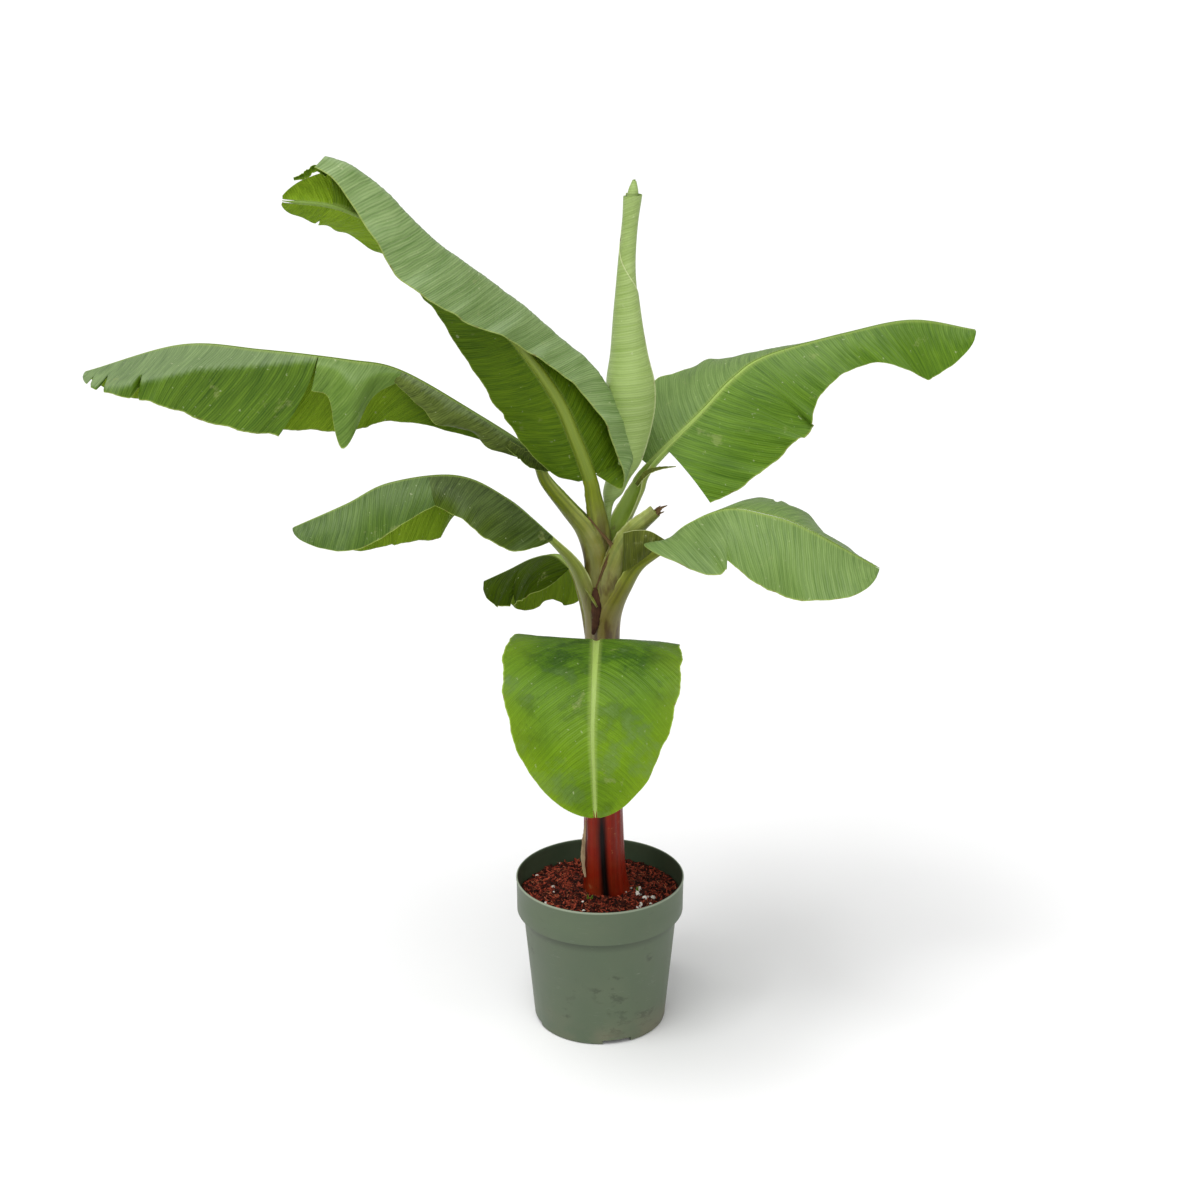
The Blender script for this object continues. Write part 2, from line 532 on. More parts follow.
# %% Leaf shapes
LEAVES = {
    "tall_leaf": dict(
        stalk=[(6, 2, 640), (6, -8, 730), (0, -20, 800), (-15, -35, 862)], radii=[15, 16, 12, 10.6],
        rib=[(-15, -35, 865), (-35, -50, 925), (-65, -65, 995), (-135, -110, 1100),
             (-235, -175, 1205), (-320, -212, 1258), (-395, -220, 1270)],
        roll=[-80, -80, -85, -85, -85, -80, -70], shape=(0.25, 4, 4),
        halves={
            "upper_half": dict(side=-1, to=0.9, width=116, fold=[5, 15, 20, 15, 10, 10],
                               curl=[-160, -170, -170, -170, -170, -170],
                               crease=[0.58, 0.6, 0.41, 0.24, 0.24, 0.74], soft=[0.13],
                               sweep=[-0.4, -0.2, 0, 0.1, 0.2, 0.42],
                               share=[1.3, 1.04, 0.92, 0.94, 0.94, 1.08]),
            "upper_tip": dict(side=-1, start=0.885, width=62, fold=[45, 35], curl=[-60, -60],
                              sweep=[0, 0.1], share=[1.2, 1], lit=(0.5, 0.6)),
            "lower_half": dict(side=1, width=112, fold=[8, 8, 15, 45, 62, 55, 35],
                               curl=[-25, -20, 0, 10, 10, 10, 10], sweep=[0.75, 0.45, 0.3, 0.3],
                               share=[0.5, 0.62, 0.54, 0.5, 0.5, 0.6, 0.62], lit=(0.55, 0.8)),
        }),
    "long_left_leaf": dict(
        stalk=[(-2, 4, 640), (-6, 0, 712), (-18, -5, 785), (-55, -20, 850), (-93, -30, 898)],
        radii=[13, 15, 12, 10, 10.4],
        rib=[(-95, -30, 900), (-185, -40, 965), (-275, -50, 1020), (-345, -55, 1035),
             (-460, -55, 1049), (-570, -50, 1055), (-705, -40, 1016)],
        roll=[0], shape=(0.5, 2.2, 2.4),
        halves={
            "near_inner": dict(side=-1, to=0.33, width=44, fold=[-50, -40, -40], curl=[-90, -95, -60],
                               sweep=[-0.1, 0, 0.2], share=[1.0, 1, 0.95, 0.35]),
            "near_flap": dict(side=-1, start=0.325, to=0.497, width=116, fold=[-35], curl=[-60],
                              crease=[0.3], soft=[0.2], sweep=[0.1], share=[0.15, 0.46, 1.12, 0.5, 0.42]),
            "near_outer": dict(side=-1, start=0.5, width=118, fold=[-30, -30, -25, -20],
                               curl=[-50, -50, -50, -40], crease=[0.05, 0.35, 0.75, 1], soft=[0.1],
                               sweep=[0.36, 0.28, 0.3, 0.3], share=[0.95, 1, 1, 1]),
            "far_half": dict(side=1, width=112, fold=[-40, -70, -75, -75, -60, -50],
                             curl=[-30, -20, -15, -10, -20, -20], sweep=[-0.2, 0, 0.2, 0.3],
                             share=[0.35, 0.5, 0.9, 1, 1, 1], lit=(0.2, 0.4)),
        }),
    "mid_left_leaf": dict(
        stalk=[(0, 2, 560), (-10, -2, 635), (-22, -10, 690), (-45, -20, 740), (-69, -34, 778)],
        radii=[13, 14, 11, 9, 7.8],
        rib=[(-70, -35, 780), (-135, -60, 845), (-200, -75, 878), (-290, -85, 870),
             (-350, -85, 840), (-425, -80, 805)],
        roll=[0], shape=(0.45, 1.6, 2.2),
        halves={
            "near_inner": dict(side=-1, to=0.5, width=100, fold=[-30, -35, -35, -45], curl=[-20, -30, -30, -30],
                               sweep=[-0.5, -0.3, -0.1], share=[0.5, 0.92, 0.82, 0.42]),
            "near_outer": dict(side=-1, start=0.5, width=100, fold=[-45, -45, -30], curl=[-30, -30, -20],
                               sweep=[-0.1, 0.1, 0.2], share=[0.42, 0.72, 0.9, 0.85]),
            "far_half": dict(side=1, width=92, fold=[10, 0, -60, -75, -70, -50],
                             curl=[-20, -30, -30, -15, -15, -20], sweep=[-0.2, 0, 0.2, 0.3], lit=(0.2, 0.4)),
        }),
    "long_right_leaf": dict(
        stalk=[(6, 8, 640), (14, 10, 725), (32, 10, 790), (52, 12, 840), (69, 15, 868)],
        radii=[12, 14, 12, 10, 9],
        rib=[(70, 15, 870), (145, 45, 940), (190, 60, 985), (240, 75, 1015),
             (360, 95, 1045), (450, 105, 1060), (540, 110, 1045)],
        roll=[10, 10, 5, 0, 0], shape=(0.35, 6, 3.2),
        halves={
            "near_half": dict(side=1, start=0.06, width=124, fold=[-60, -60, -55, -40, -45, -55, -45],
                              curl=[-15, -20, -20, -20, -20, -20], sweep=[-0.12, 0.12, 0.2, 0.15, 0.2, 0.2],
                              share=[0.84, 0.98, 0.98, 0.56, 0.44, 0.92, 0.9]),
            "far_half": dict(side=-1, width=100, fold=[60, 40, 5, -20, -30, -30],
                             curl=[-10, -20, -30, -20, -20, -20], sweep=[-0.1, 0.1, 0.2, 0.3]),
        }),
    "mid_right_leaf": dict(
        stalk=[(2, -2, 560), (12, -10, 615), (30, -20, 665), (58, -36, 728), (89, -50, 768)],
        radii=[13, 14, 12, 10, 8],
        rib=[(90, -50, 770), (125, -60, 805), (175, -75, 830), (225, -85, 826),
             (280, -95, 810), (385, -110, 755)],
        roll=[10, 5, 0, 0], shape=(0.45, 3, 3.2),
        halves={
            "near_inner": dict(side=1, to=0.34, width=100, fold=[40, -25, -40, -42], curl=[-10, -20, -20],
                               sweep=[-0.35, -0.1, 0], share=[0.7, 0.8, 1, 0.9]),
            "near_outer": dict(side=1, start=0.34, width=105, fold=[-40, -40, -35, -20],
                               curl=[-20, -20, -15, -10], sweep=[0, 0.1, 0.2], share=[0.74, 1, 1, 1]),
            "far_half": dict(side=-1, width=92, fold=[-10, -5, 10, -8, -12], curl=[-20, -20, -20, -10, -10],
                             sweep=[-0.5, -0.1, 0.1, 0.3]),
        }),
    "back_leaf": dict(
        stalk=[(2, 6, 575), (-12, 20, 630), (-25, 48, 668), (-39, 78, 694)], radii=[12, 12, 9, 7],
        rib=[(-40, 80, 695), (-65, 130, 700), (-100, 180, 680), (-140, 215, 650), (-180, 235, 625)],
        roll=[0], shape=(0.4, 2.2, 3),
        halves={
            "near_half": dict(side=-1, width=85, fold=[-20, -30, -35], curl=[-30, -40, -30],
                              sweep=[-0.2, 0, 0.1]),
            "far_half": dict(side=1, width=80, fold=[-20, -60, -60], curl=[-20, -30, -30], sweep=[-0.2, 0, 0.1],
                             share=[1, 0.86, 1.06, 0.84, 1.04, 0.86]),
        }),
    "front_leaf": dict(
        stalk=[(4, 0, 520), (2, -12, 562), (0, -32, 596), (-3, -58, 609)], radii=[12, 13, 10, 8],
        rib=[(-3, -60, 610), (-5, -130, 658), (-6, -205, 668), (-8, -270, 645),
             (-10, -312, 592), (-8, -332, 540), (-6, -340, 486)],
        roll=[0], shape=(0.45, 2.6, 2.3),
        halves={
            "left": dict(side=1, width=117, fold=[-5, 2, 5, 4, 0], curl=[-10, 4, -6, -18, -10],
                         sweep=[-0.1, 0, 0, 0.1], share=[0.8, 0.84, 0.97, 1, 1, 1]),
            "right": dict(side=-1, width=109, fold=[-5, 2, 5, 4, 0], curl=[-10, -10, -12, -18, -10],
                          sweep=[-0.1, 0, 0, 0.1], share=[0.95, 1, 1, 1, 1]),
        }),
}
print("leaves:", len(LEAVES), "half-blade pieces:", sum(len(leaf["halves"]) for leaf in LEAVES.values()))

# %% [markdown]
# ## How a blade is made
# A half blade is a fine grid: one row for every few millimetres of rib, each
# row running out along a vein. The row leaves the rib at its slope and turns
# over at its crease. Small even pleats and slow waves at the margin are added
# as heights across the sheet, then the grid gets a second side and a rim, so
# that it is a closed sheet under a millimetre thick.

# %% Half blade
BLADE_GAP = 1.5          # room between rib and blade in millimetres, like the other sizes
RIB_TIP = 2.6            # radius of a midrib at its end
RIB_TUCK = 0.3           # how far the inner edge tucks under the rib, in rib radii
PATH_STEPS = 600
TURN_STEPS = 5           # steps of the profile's turn for each column of the grid
PLEAT = 8.5              # from one pleat to the next
NARROWEST = 2.5          # least width of a half blade


def rib_radius(leaf, t):
    first = leaf["radii"][-1]
    return first + (RIB_TIP - first) * np.minimum(1, np.asarray(t) * 1.15) ** 0.8


def outline(leaf, t):
    wide, base, tip = leaf["shape"]
    inner = (1 - (1 - np.clip(t / wide, 0, 1)) ** base) ** (1 / base)
    outer = (1 - np.clip((t - wide) / (1 - wide), 0, 1) ** tip) ** (1 / 1.6)
    return np.where(t < wide, inner, outer)


def rib_frame(leaf, path, t):
    """The rib's point, direction, sideways and upright vectors at each t from 0 to 1."""
    steps = np.arange(PATH_STEPS + 1)
    p, tangent, normal, side = (
        np.stack([np.interp(t * PATH_STEPS, steps, line[:, k]) for k in range(3)], 1)
        for line in (path, *frames_along(path)))
    tangent, normal, side = unit(tangent), unit(normal), unit(side)
    roll = np.radians(along(leaf["roll"], t))[:, None]
    return (p, tangent, side * np.cos(roll) + normal * np.sin(roll),
            normal * np.cos(roll) - side * np.sin(roll))


def blade_widths(leaf, half, t, local, length, tears, rng):
    """The outline's width at each row, with small waves in it and with its tears."""
    width = half["width"] * outline(leaf, t) * along(half.get("share", [1]), local)
    width = np.maximum(NARROWEST, width)
    for size, amount in ((62, 0.012), (27, 0.005), (11, 0.002)):
        turns = 2 * np.pi * (t * length) / size * rng.uniform(0.85, 1.15) + rng.uniform(0, 6.3)
        width = width * (1 + amount * np.sin(turns))
    for place, breadth, depth in tears:
        off = np.abs(t - place) * length
        width = width * (1 - depth * np.clip(1 - off / breadth, 0, 1) ** 1.3)
    return width


def summed(slopes, step):
    """Running sum along each row, read at every column of the blade's grid."""
    mid = np.cumsum(slopes, 1) * step
    return np.concatenate([np.zeros((len(mid), 1)), mid], 1)[:, ::TURN_STEPS]


def half_blade_grid(leaf, half, seed, waves=3.0, columns=26, row_step=3.2, tears=(), slant=0.55):
    """Points of the half blade and their map: u runs out to the margin, v along the rib."""
    first, last = half.get("start", 0.0), half.get("to", 1.0)
    path, length = curve_points(leaf["rib"], PATH_STEPS)
    rows = max(20, int((last - first) * length / row_step))
    t = np.linspace(first, last, rows + 1)
    local = np.linspace(0, 1, rows + 1)
    p, tangent, across, up = rib_frame(leaf, path, t)
    across = across * half["side"]
    rng = np.random.default_rng(seed)
    s = t * length
    width = blade_widths(leaf, half, t, local, length, tears, rng)
    fold, curl, sweep = (along(half[key], local)[:, None] for key in ("fold", "curl", "sweep"))
    crease, soft = (along(half.get(key, [0.5]), local)[:, None] for key in ("crease", "soft"))
    u = np.linspace(0, 1, columns * TURN_STEPS + 1)
    turn = np.radians(fold + curl * smooth_step((u - crease + soft) / (2 * soft)))
    mid = (turn[:, 1:] + turn[:, :-1]) / 2
    step = 1 / (columns * TURN_STEPS)
    out, rise = summed(np.cos(mid), step), summed(np.sin(mid), step)
    turn, u = turn[:, ::TURN_STEPS], u[::TURN_STEPS]
    # the inner edge tucks under the rim of the midrib
    width = width[:, None]
    begin = rib_radius(leaf, t)[:, None]
    lean_in = np.maximum(np.cos(turn[:, :1]), 0.0)
    reach = width + RIB_TUCK * begin * lean_in + BLADE_GAP
    out = begin * 0.84 + reach * out
    rise = begin * 0.16 + reach * rise
    vein = s[:, None] - (slant - sweep) * width * u ** 1.25
    lift = 0.3 * np.sin(2 * np.pi * vein / PLEAT + rng.uniform(0, 6)) * np.sin(np.pi * u) ** 0.7
    for size, amount in ((34, 0.5), (61, 0.9), (103, 1.3)):
        phase, lean = rng.uniform(0, 6.3), rng.uniform(-0.6, 0.6)
        turns = 2 * np.pi * vein / (size * rng.uniform(0.85, 1.2)) + phase + lean * u
        at_margin = u ** 2.2 * np.minimum(1, width / 60)
        lift = lift + waves * amount * 0.5 * np.sin(turns) * at_margin
    out = out - lift * np.sin(turn)
    rise = rise + lift * np.cos(turn)
    grid = (p[:, None] + out[..., None] * across[:, None] + rise[..., None] * up[:, None]
            + (sweep * width * u ** 1.6)[..., None] * tangent[:, None])
    uv = np.stack([np.broadcast_to(u[None], grid.shape[:2]), vein * MM], -1)
    return grid, uv


def make_blade(name, leaf, half, seed, skins, nodes, **options):
    """A half blade; bloom marks where its upper side lies level, lit where its lower side glows."""
    grid, uv = half_blade_grid(leaf, half, seed, **options)
    up_sign = 1 if half["side"] < 0 else -1
    thick = np.broadcast_to(np.linspace(0.95, 0.6, grid.shape[1])[None], grid.shape[:2])
    points, faces, index = shell(grid, thick, up_sign)
    both_sides = np.vstack([uv.reshape(-1, 2)] * 2)
    bloom = smooth_step((sheet_normal(grid, up_sign)[..., 2] - 0.25) / 0.5).ravel()
    lit_from, lit_to = half.get("lit", (2.0, 3.0))
    t = np.linspace(half.get("start", 0.0), half.get("to", 1.0), grid.shape[0])
    lit = np.repeat(smooth_step((t - lit_from) / (lit_to - lit_from)), grid.shape[1])
    attributes = dict(bloom=np.r_[bloom, bloom * 0], lit=np.r_[lit * 0, lit])
    piece = mesh_piece(name + "_skin", points * MM, faces, both_sides, skins, index, attributes, 75)
    return hand_over(piece, "leaf", *nodes)


print("blade maker ready")

# %% Make all the blades
UPPER_SKINS = {
    "tall_leaf_upper_half": pale_upper, "tall_leaf_upper_tip": pale_upper,
    "tall_leaf_lower_half": mid_upper,
    "long_left_leaf_near_inner": grey_upper, "long_left_leaf_near_flap": soft_upper,
    "long_left_leaf_near_outer": mid_upper, "long_left_leaf_far_half": mid_upper,
    "mid_left_leaf_near_inner": glossy_upper, "mid_left_leaf_near_outer": deep_upper,
    "mid_left_leaf_far_half": deep_upper,
    "long_right_leaf_near_half": fresh_upper, "long_right_leaf_far_half": soft_upper,
    "mid_right_leaf_near_inner": soft_upper, "mid_right_leaf_near_outer": soft_upper,
    "mid_right_leaf_far_half": soft_upper,
    "back_leaf_near_half": dark_upper, "back_leaf_far_half": dark_upper,
    "front_leaf_left": front_upper, "front_leaf_right": front_upper,
}
UNDER_SKINS = {"tall_leaf_upper_tip": bright_under, "mid_right_leaf_near_inner": deep_under,
               "back_leaf_near_half": bright_under, "back_leaf_far_half": bright_under}
# each tear: place along the rib from 0 to 1, half its breadth, depth as a share of the width
BLADE_TEARS = {
    "long_left_leaf_near_outer": [(0.84, 6, 0.35), (0.93, 7, 0.6), (0.965, 4, 0.6)],
    "long_right_leaf_far_half": [(0.55, 4, 0.25)],
    "mid_right_leaf_far_half": [(0.5, 4, 0.2)],
    "back_leaf_near_half": [(0.6, 6, 0.5)],
    "tall_leaf_lower_half": [(0.9, 5, 0.3)],
}
BLADE_WAVES = {"long_left_leaf_near_inner": 12.0, "back_leaf_near_half": 6.0, "back_leaf_far_half": 7.0,
               "front_leaf_left": 1.4, "front_leaf_right": 1.4, "mid_left_leaf_near_inner": 4.5}
BLADE_SLANTS = {"front_leaf_left": 0.85, "front_leaf_right": 0.95}
blade_count = 0
for leaf_name, leaf in LEAVES.items():
    for half_name, half in leaf["halves"].items():
        name = f"{leaf_name}_{half_name}"
        nodes = [f"{name}_upper", f"{name}_lower"] if leaf_name == "front_leaf" else [name]
        skins = (UPPER_SKINS[name], UNDER_SKINS.get(name, dull_under))
        blade_count += 1
        piece = make_blade(name, leaf, half, 20 + blade_count, skins, nodes,
                           tears=BLADE_TEARS.get(name, ()), waves=BLADE_WAVES.get(name, 3.0),
                           slant=BLADE_SLANTS.get(name, 0.55))
print("blades:", blade_count, "last has", len(piece.data.polygons), "faces")

# %% [markdown]
# ## Stalks, sheaths and midribs
# The stalk of a banana leaf is a gutter: round below, hollowed above. Higher up
# it flattens into the midrib, lower down it widens into a thin sheath that
# wraps the sheaths inside it, and those sheaths together are the stem. One
# section does all three. It is an arc of wall round the underside, closed on
# the upper side by a channel, and its opening and depth change along the leaf.

# %% Stalk skins
def stalk_skin(name, light, deep, base, lip, inside, roughness=0.42):
    """Green with long fibres, browner below, and stained where it is a sheath."""
    skin = Skin(name, roughness, 0.45)
    body = skin.coordinates
    tone, height = skin.group(fibres, skin.map(), across=34.0, length=9.0)
    blotch, scar, speck = skin.group(blotches, body, size=26.0, speck_size=420.0)
    low, rim = skin.attribute("low"), skin.attribute("rim")
    grey = skin.mix(blotch, rgb(*base), rgb(168, 160, 124))
    grey = skin.mix(skin.times(skin.spread(height, 0.42, 0.6), 0.5), grey, rgb(104, 80, 44))
    skin.colour = skin.mix(skin.spread(tone, 0.36, 0.72), rgb(*deep), rgb(*light))
    skin.layer(low, grey, skin.spread(tone, 0.3, 0.6, 0.04, 0.55))
    level = skin.calc("MULTIPLY_ADD", skin.noise(body, 30.0), 0.12, skin.axes(body)[2])
    skin.layer(skin.spread(level, 0.62, 0.84, 0.85, 0.0), (98, 72, 26))
    skin.layer(skin.attribute("channel"), inside, 0.8)
    skin.layer(scar, (92, 66, 34), 0.45)
    skin.layer(speck, (70, 56, 26), 0.4)
    skin.layer(rim, lip, 0.8)
    skin.layer(skin.attribute("fade"), (104, 134, 48))
    stain = skin.noise(skin.stretched(body, 60.0, 60.0, 16.0), 1.0, 4)
    skin.layer(skin.times(low, skin.spread(stain, 0.5, 0.62)), (66, 40, 14), 0.75)
    dried = skin.spread(skin.noise(body, 75.0, 3), 0.42, 0.55)
    skin.layer(skin.times(rim, low), (70, 38, 20), dried)
    skin.bump(height, 0.5, 0.0011)
    return skin.finish(skin.spread(tone, 0.0, 1.0, roughness - 0.08, roughness + 0.12))


# colours: light and deep streaks, sheath, lip, inside of the channel
stalk_green = stalk_skin("yellow_green_stalk", (138, 150, 16), (66, 84, 0), (112, 98, 44),
                         (172, 184, 96), (128, 154, 44))
stalk_pale = stalk_skin("pale_stalk", (148, 164, 66), (82, 102, 16), (122, 108, 58),
                        (196, 204, 140), (136, 164, 58))
rib_pale = stalk_skin("pale_midrib", (150, 174, 80), (110, 138, 42), (150, 150, 90),
                      (150, 174, 84), (162, 188, 96), 0.38)
rib_green = stalk_skin("green_midrib", (116, 140, 52), (76, 104, 24), (120, 130, 70),
                       (112, 138, 54), (122, 146, 58), 0.4)
rib_olive = stalk_skin("olive_midrib", (128, 146, 38), (92, 112, 12), (130, 128, 70),
                       (160, 176, 80), (140, 170, 60), 0.4)
print("stalk skins:", stalk_green.name, stalk_pale.name, rib_pale.name, rib_olive.name)


# %% One gutter section, swept
def gutter(name, points, normal, side, radius, half_angle, depth, wrap, wall, low, material,
           around=18, lumps=0.0, seed=1, fade=None):
    """A closed swept section: an arc of wall below, a channel or the wall's inner face above."""
    rows, width = len(points), 2 * around
    if fade is None:
        fade = np.zeros(rows)
    rel = np.linspace(-1, 1, around)[None]
    phi = half_angle[:, None] * rel
    radius, depth, wrap, wall = (v[:, None] for v in (radius, depth, wrap, wall))
    rng = np.random.default_rng(seed)
    s = np.r_[0, np.cumsum(np.linalg.norm(np.diff(points, axis=0), axis=1))]
    grow = np.ones((rows, around))
    if lumps:
        for size in (11, 27, 60):
            turns = 2 * np.pi * s[:, None] / size + rng.uniform(0, 6.3) + rel * rng.uniform(-3, 3)
            grow += lumps * np.sin(turns) * np.abs(rel) ** 3
    outer_x, outer_y = radius * grow * np.sin(phi), -radius * grow * np.cos(phi)
    inner = radius * grow - wall * (1 - 0.72 * np.abs(rel) ** 4)
    dip_x = (radius - 0.25 * wall) * np.sin(half_angle)[:, None] * rel
    dip_y = -radius * np.cos(half_angle)[:, None] - depth * (1 - rel ** 2)
    inner_x = dip_x * (1 - wrap) + inner * np.sin(phi) * wrap
    inner_y = dip_y * (1 - wrap) - inner * np.cos(phi) * wrap
    x = np.concatenate([outer_x, inner_x[:, ::-1]], 1)
    y = np.concatenate([outer_y, inner_y[:, ::-1]], 1)
    ring = points[:, None] + x[..., None] * side[:, None] + y[..., None] * normal[:, None]
    faces = [tuple(f) for f in grid_faces(rows - 1, width, wrap=True)]
    faces += [tuple(range(width))[::-1], tuple(range((rows - 1) * width, rows * width))]
    u = np.broadcast_to(np.concatenate([rel[0], rel[0][::-1]])[None] * 0.5 + 0.5, (rows, width))
    uv = np.stack([u, np.broadcast_to(s[:, None] * MM, (rows, width))], -1).reshape(-1, 2)
    channel = np.zeros((rows, width))
    channel[:, around:] = 1
    rim = np.clip((np.abs(u * 2 - 1) - 0.86) / 0.14, 0, 1) ** 2
    attributes = dict(low=np.repeat(low, width), rim=rim.ravel(), channel=channel.ravel(),
                      fade=np.repeat(fade, width))
    flat = ring.reshape(-1, 3) * MM
    # turn the faces outward whichever way the section runs
    a, b, c = (flat[corner] for corner in faces[around // 2][:3])
    if np.cross(b - a, c - b) @ (a - points[0] * MM) < 0:
        faces = [f[::-1] for f in faces]
    return mesh_piece(name, flat, faces, uv, [material], None, attributes, 60)


print("gutter maker ready")

# %% Sheath and stalk sizes
# place, radius and half-angle of the wall, from the stem up to the start of the blade
TRACKS = {
    "front_leaf": [
        (3, 0, 440, 24.5, 150), (3, 0, 480, 24, 145), (2, -2, 510, 22, 135), (2, -8, 545, 17, 122),
        (1, -22, 580, 12.5, 118), (0, -38, 600, 10, 116)],
    "mid_left_leaf": [
        (3, 0, 430, 24.8, 150), (2, 0, 520, 23.2, 145), (-1, -1, 590, 21, 138), (-4, -3, 640, 17.5, 128),
        (-10, -6, 670, 15.6, 122), (-20, -10, 700, 13.8, 116), (-36, -17, 737, 11.6, 112)],
    "mid_right_leaf": [
        (3, 0, 430, 25.4, 150), (3, 0, 520, 24.2, 146), (5, -3, 590, 23.4, 138), (8, -8, 640, 21.6, 122),
        (17, -15, 672, 18, 112), (32, -22, 702, 14.2, 112), (53, -31, 738, 11.6, 112)],
    "back_leaf": [
        (3, 0, 430, 23, 150), (2, 0, 500, 22, 150), (2, 4, 565, 20, 130), (-12, 20, 630, 13, 118),
        (-25, 48, 668, 9, 116)],
    "long_left_leaf": [
        (3, 0, 450, 21.5, 160), (2, 0, 560, 21, 158), (1, 0, 630, 21, 155), (-1, -2, 700, 20.5, 152),
        (-5, -4, 745, 19.5, 146), (-19, -7, 785, 17.8, 126), (-43, -13, 818, 15.4, 118),
        (-72, -24, 858, 12.8, 112)],
    "long_right_leaf": [
        (3, 0, 470, 19.5, 160), (3, 2, 560, 18.5, 158), (4, 3, 640, 17, 155), (8, 4, 700, 16, 145),
        (14, 4, 745, 16, 130), (24, 4, 780, 15.2, 116), (37, 6, 808, 14, 108), (51, 9, 836, 12.4, 104)],
    "tall_leaf": [
        (3, 0, 500, 17, 160), (3, 0, 600, 15.5, 158), (3, 0, 690, 15, 150), (1, -4, 765, 15.2, 132),
        (-4, -12, 803, 14, 120), (-10, -22, 835, 12.2, 112)],
}
SHEATH_TOP = {"front_leaf": 520, "mid_left_leaf": 630, "mid_right_leaf": 625, "back_leaf": 560,
              "long_left_leaf": 735, "long_right_leaf": 700, "tall_leaf": 745}
STALK_SKINS = {
    "tall_leaf": (stalk_green, rib_olive), "long_left_leaf": (stalk_green, rib_green),
    "mid_left_leaf": (stalk_pale, rib_green), "long_right_leaf": (stalk_pale, rib_pale),
    "mid_right_leaf": (stalk_green, rib_pale), "back_leaf": (stalk_green, rib_olive),
    "front_leaf": (stalk_pale, rib_pale),
}
STALK_SAMPLES = 230
STALK_TWIST = math.radians(48)       # the long right leaf's stalk turns this much below its blade


def stalk_and_rib(name, leaf, seed):
    """One sweep from the stem to the leaf's tip, cut in two where the blade begins."""
    ribs = np.asarray(leaf["rib"], float)
    gaps = np.r_[0, np.cumsum(np.linalg.norm(np.diff(ribs, axis=0), axis=1))]
    track = list(TRACKS[name])
    track += [(*p, rib_radius(leaf, t), 104 - 12 * min(1, 2 * t))
              for p, t in zip(leaf["rib"], gaps / gaps[-1])]
    samples, _ = curve_points(track, int(STALK_SAMPLES + 0.35 * len(track)))
    points = samples[:, :3]
    start = int(np.argmin(np.linalg.norm(points - ribs[0], axis=1)))
    _, normal, side = frames_along(points, start=start)
    count = np.arange(len(points))
    on_rib = count > start
    t = np.clip((count - start) / (len(points) - 1 - start), 0, 1)
    z = points[:, 2]
    roll = np.radians(along(leaf["roll"], t))
    if name == "long_right_leaf":
        roll = roll - STALK_TWIST * (1 - smooth_step((z - 800) / 90))
    roll = roll[:, None]
    side, normal = (side * np.cos(roll) + normal * np.sin(roll),
                    normal * np.cos(roll) - side * np.sin(roll))
    radius = np.where(on_rib, rib_radius(leaf, t), samples[:, 3])
    radius = np.maximum(radius * (1 - smooth_step((t - 0.96) / 0.04) * 0.75), 0.5)
    top = SHEATH_TOP[name]
    low = np.where(on_rib, 0, 1 - smooth_step((z - top - 10) / 100))
    wrap = np.where(on_rib, 0, 1 - smooth_step((z - top) / 70))
    wall = np.minimum(2.6, radius * 0.42)
    depth = radius * np.where(on_rib, 0.35 * (1 - 0.4 * t), 0.62)
    fade = smooth_step((t - 0.3) / 0.4) * (0.2 if name == "front_leaf" else 0.75)
    half_angle = np.radians(samples[:, 4])
    pieces = []
    for part, cut, skin in zip(("stalk", "rib"), (slice(0, start + 1), slice(start, None)),
                               STALK_SKINS[name]):
        sizes = [v[cut] for v in (points, normal, side, radius, half_angle, depth, wrap, wall, low)]
        piece = gutter(f"{name}_{part}_skin", *sizes, skin, lumps=0.02 if part == "stalk" else 0.0,
                       seed=seed, fade=fade[cut])
        nodes = [f"{name}_{part}"]
        if name == "front_leaf" and part == "rib":
            nodes = ["front_leaf_rib_upper", "front_leaf_rib_lower"]
        pieces.append(hand_over(piece, "stalk", *nodes))
    return pieces


for number, (leaf_name, leaf) in enumerate(LEAVES.items()):
    made = stalk_and_rib(leaf_name, leaf, 40 + number)
    print(leaf_name, [len(p.data.polygons) for p in made])

# %% [markdown]
# ## The stem
# Below the crown the old sheaths have closed into a glossy red-brown column.
# Two of them meet at the front in an open seam, with a thin dry stalk caught
# in it. A grid wrapped round the stem's axis is pushed in along that seam and
# out where one sheath overlaps the next, which is all the shape it has.

# %% Stem skin
def stem_skin():
    skin = Skin("red_brown_sheaths", 0.34, 0.16)
    body = skin.coordinates
    tone, height = skin.group(fibres, skin.map(), across=46.0, length=7.0)
    blotch, scar, speck = skin.group(blotches, body, size=30.0, speck_size=300.0)
    streaks = skin.spread(tone, 0.34, 0.7)
    red = skin.mix(streaks, rgb(72, 5, 0), rgb(140, 30, 6))
    green = skin.mix(streaks, rgb(74, 74, 20), rgb(128, 118, 60))
    level = skin.calc("MULTIPLY_ADD", skin.noise(body, 26.0), 0.16, skin.axes(body)[2])
    skin.colour = skin.mix(skin.spread(level, 0.56, 0.68), red, green)
    skin.layer(blotch, (120, 62, 30), 0.3)
    skin.layer(scar, (168, 120, 78), 0.5)
    skin.layer(speck, (40, 14, 8), 0.5)
    skin.layer(skin.spread(level, 0.285, 0.31, 1.0, 0.0), (60, 26, 14), 0.5)
    skin.layer(skin.attribute("seam"), (9, 3, 2))
    skin.bump(height, 0.55, 0.0012)
    return skin.finish(skin.spread(tone, 0.2, 0.8, 0.22, 0.42))


